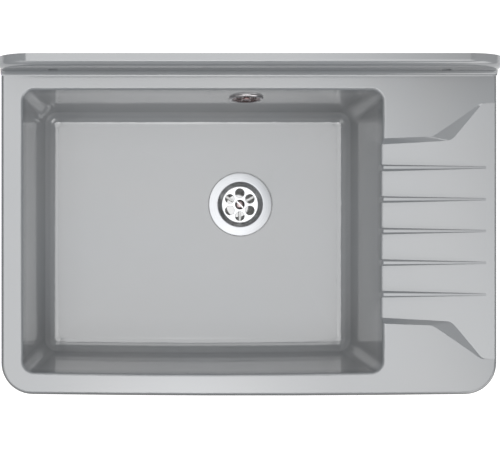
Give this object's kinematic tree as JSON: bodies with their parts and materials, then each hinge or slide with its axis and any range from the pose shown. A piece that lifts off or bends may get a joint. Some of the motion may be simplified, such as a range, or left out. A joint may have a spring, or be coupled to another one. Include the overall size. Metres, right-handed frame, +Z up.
{
  "type": "kitchen sink with drainboard",
  "caption": "Cast stone kitchen sink with a deep bowl, sloping ribbed drainboard and low wall upstand, with strainer waste, overflow cover and overflow hose.",
  "frame": {"origin": "on the wall plane, at mid width, level with the flat deck", "axes": "+X towards the drainboard, +Y towards the wall, +Z up"},
  "size_m": [0.75, 0.5069, 0.334],
  "materials": {
    "stone": "grey cast composite with a smooth gloss skin",
    "polished_steel": "polished stainless sheet",
    "screw_steel": "turned stainless steel",
    "seal_rubber": "black rubber",
    "waste_plastic": "white moulded plastic",
    "nut_plastic": "white moulded plastic",
    "hose_plastic": "white ribbed plastic",
    "insert_brass": "turned brass"
  },
  "bodies": {
    "root": {"sink_body": "stone", "strainer_cup": "polished_steel", "strainer_screw": "screw_steel", "flange_seal": "seal_rubber", "waste_seal": "seal_rubber", "waste_body": "waste_plastic", "strainer_insert": "insert_brass", "overflow_rosette": "polished_steel", "overflow_screw": "screw_steel", "overflow_gasket": "seal_rubber", "overflow_housing": "waste_plastic", "overflow_insert": "insert_brass", "housing_cone_seal": "seal_rubber", "housing_hose_nut": "nut_plastic", "waste_cone_seal": "seal_rubber", "waste_hose_nut": "nut_plastic", "overflow_hose": "hose_plastic"}
  },
  "joints": []
}
